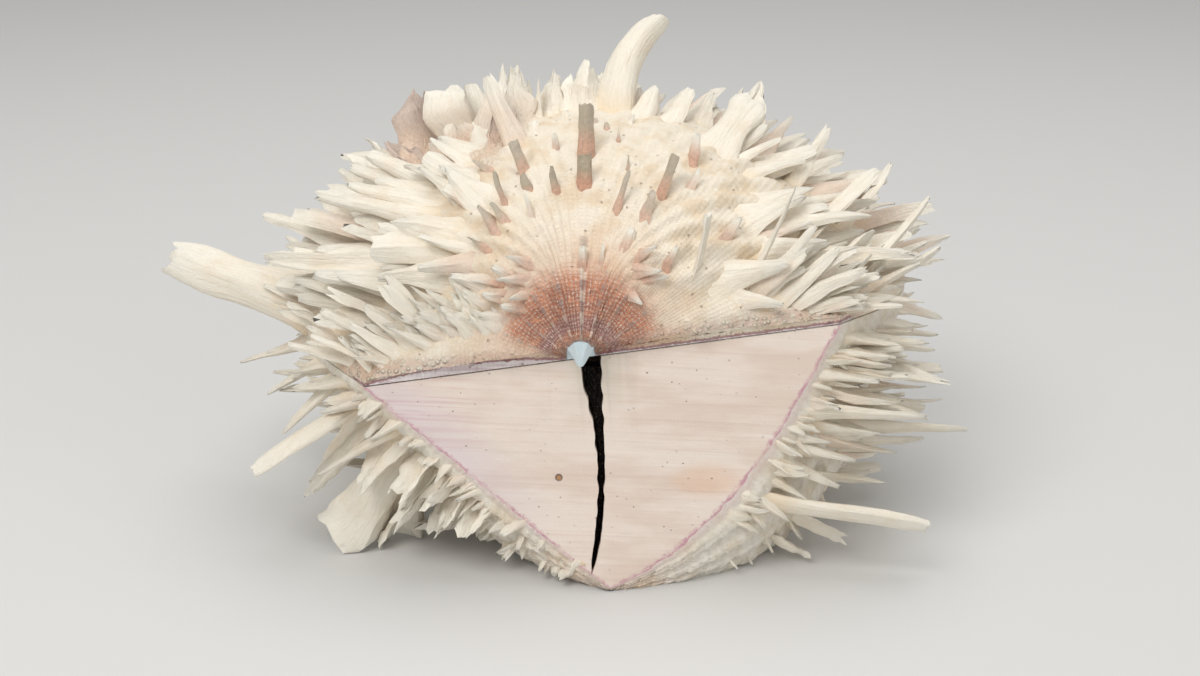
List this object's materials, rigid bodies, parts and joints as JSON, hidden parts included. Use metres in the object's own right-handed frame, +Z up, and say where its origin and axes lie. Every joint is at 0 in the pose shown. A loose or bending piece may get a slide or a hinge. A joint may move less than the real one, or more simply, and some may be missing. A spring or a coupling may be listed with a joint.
{
  "type": "spiny oyster shell",
  "caption": "Closed two-valved oyster shell with long spines and blades on ribbed valves, a triangular hinge face with a dark slit, resting on its flat growth scar.",
  "frame": {"origin": "centre of the bounding box at its foot, on the surface the shell rests on", "axes": "+X to the right as the hinge face is seen, -Y out of the hinge face, +Z up"},
  "size_m": [0.1962, 0.1428, 0.1117],
  "materials": {
    "upper_shell": "chalky cream shell with a brick-brown netted beak",
    "lower_shell": "chalky cream shell, smooth pinkish hinge face",
    "dry_ligament": "dry, dull, nearly black"
  },
  "bodies": {
    "root": {"upper_valve": "upper_shell", "lower_valve": "lower_shell", "ligament": "dry_ligament"}
  },
  "joints": []
}
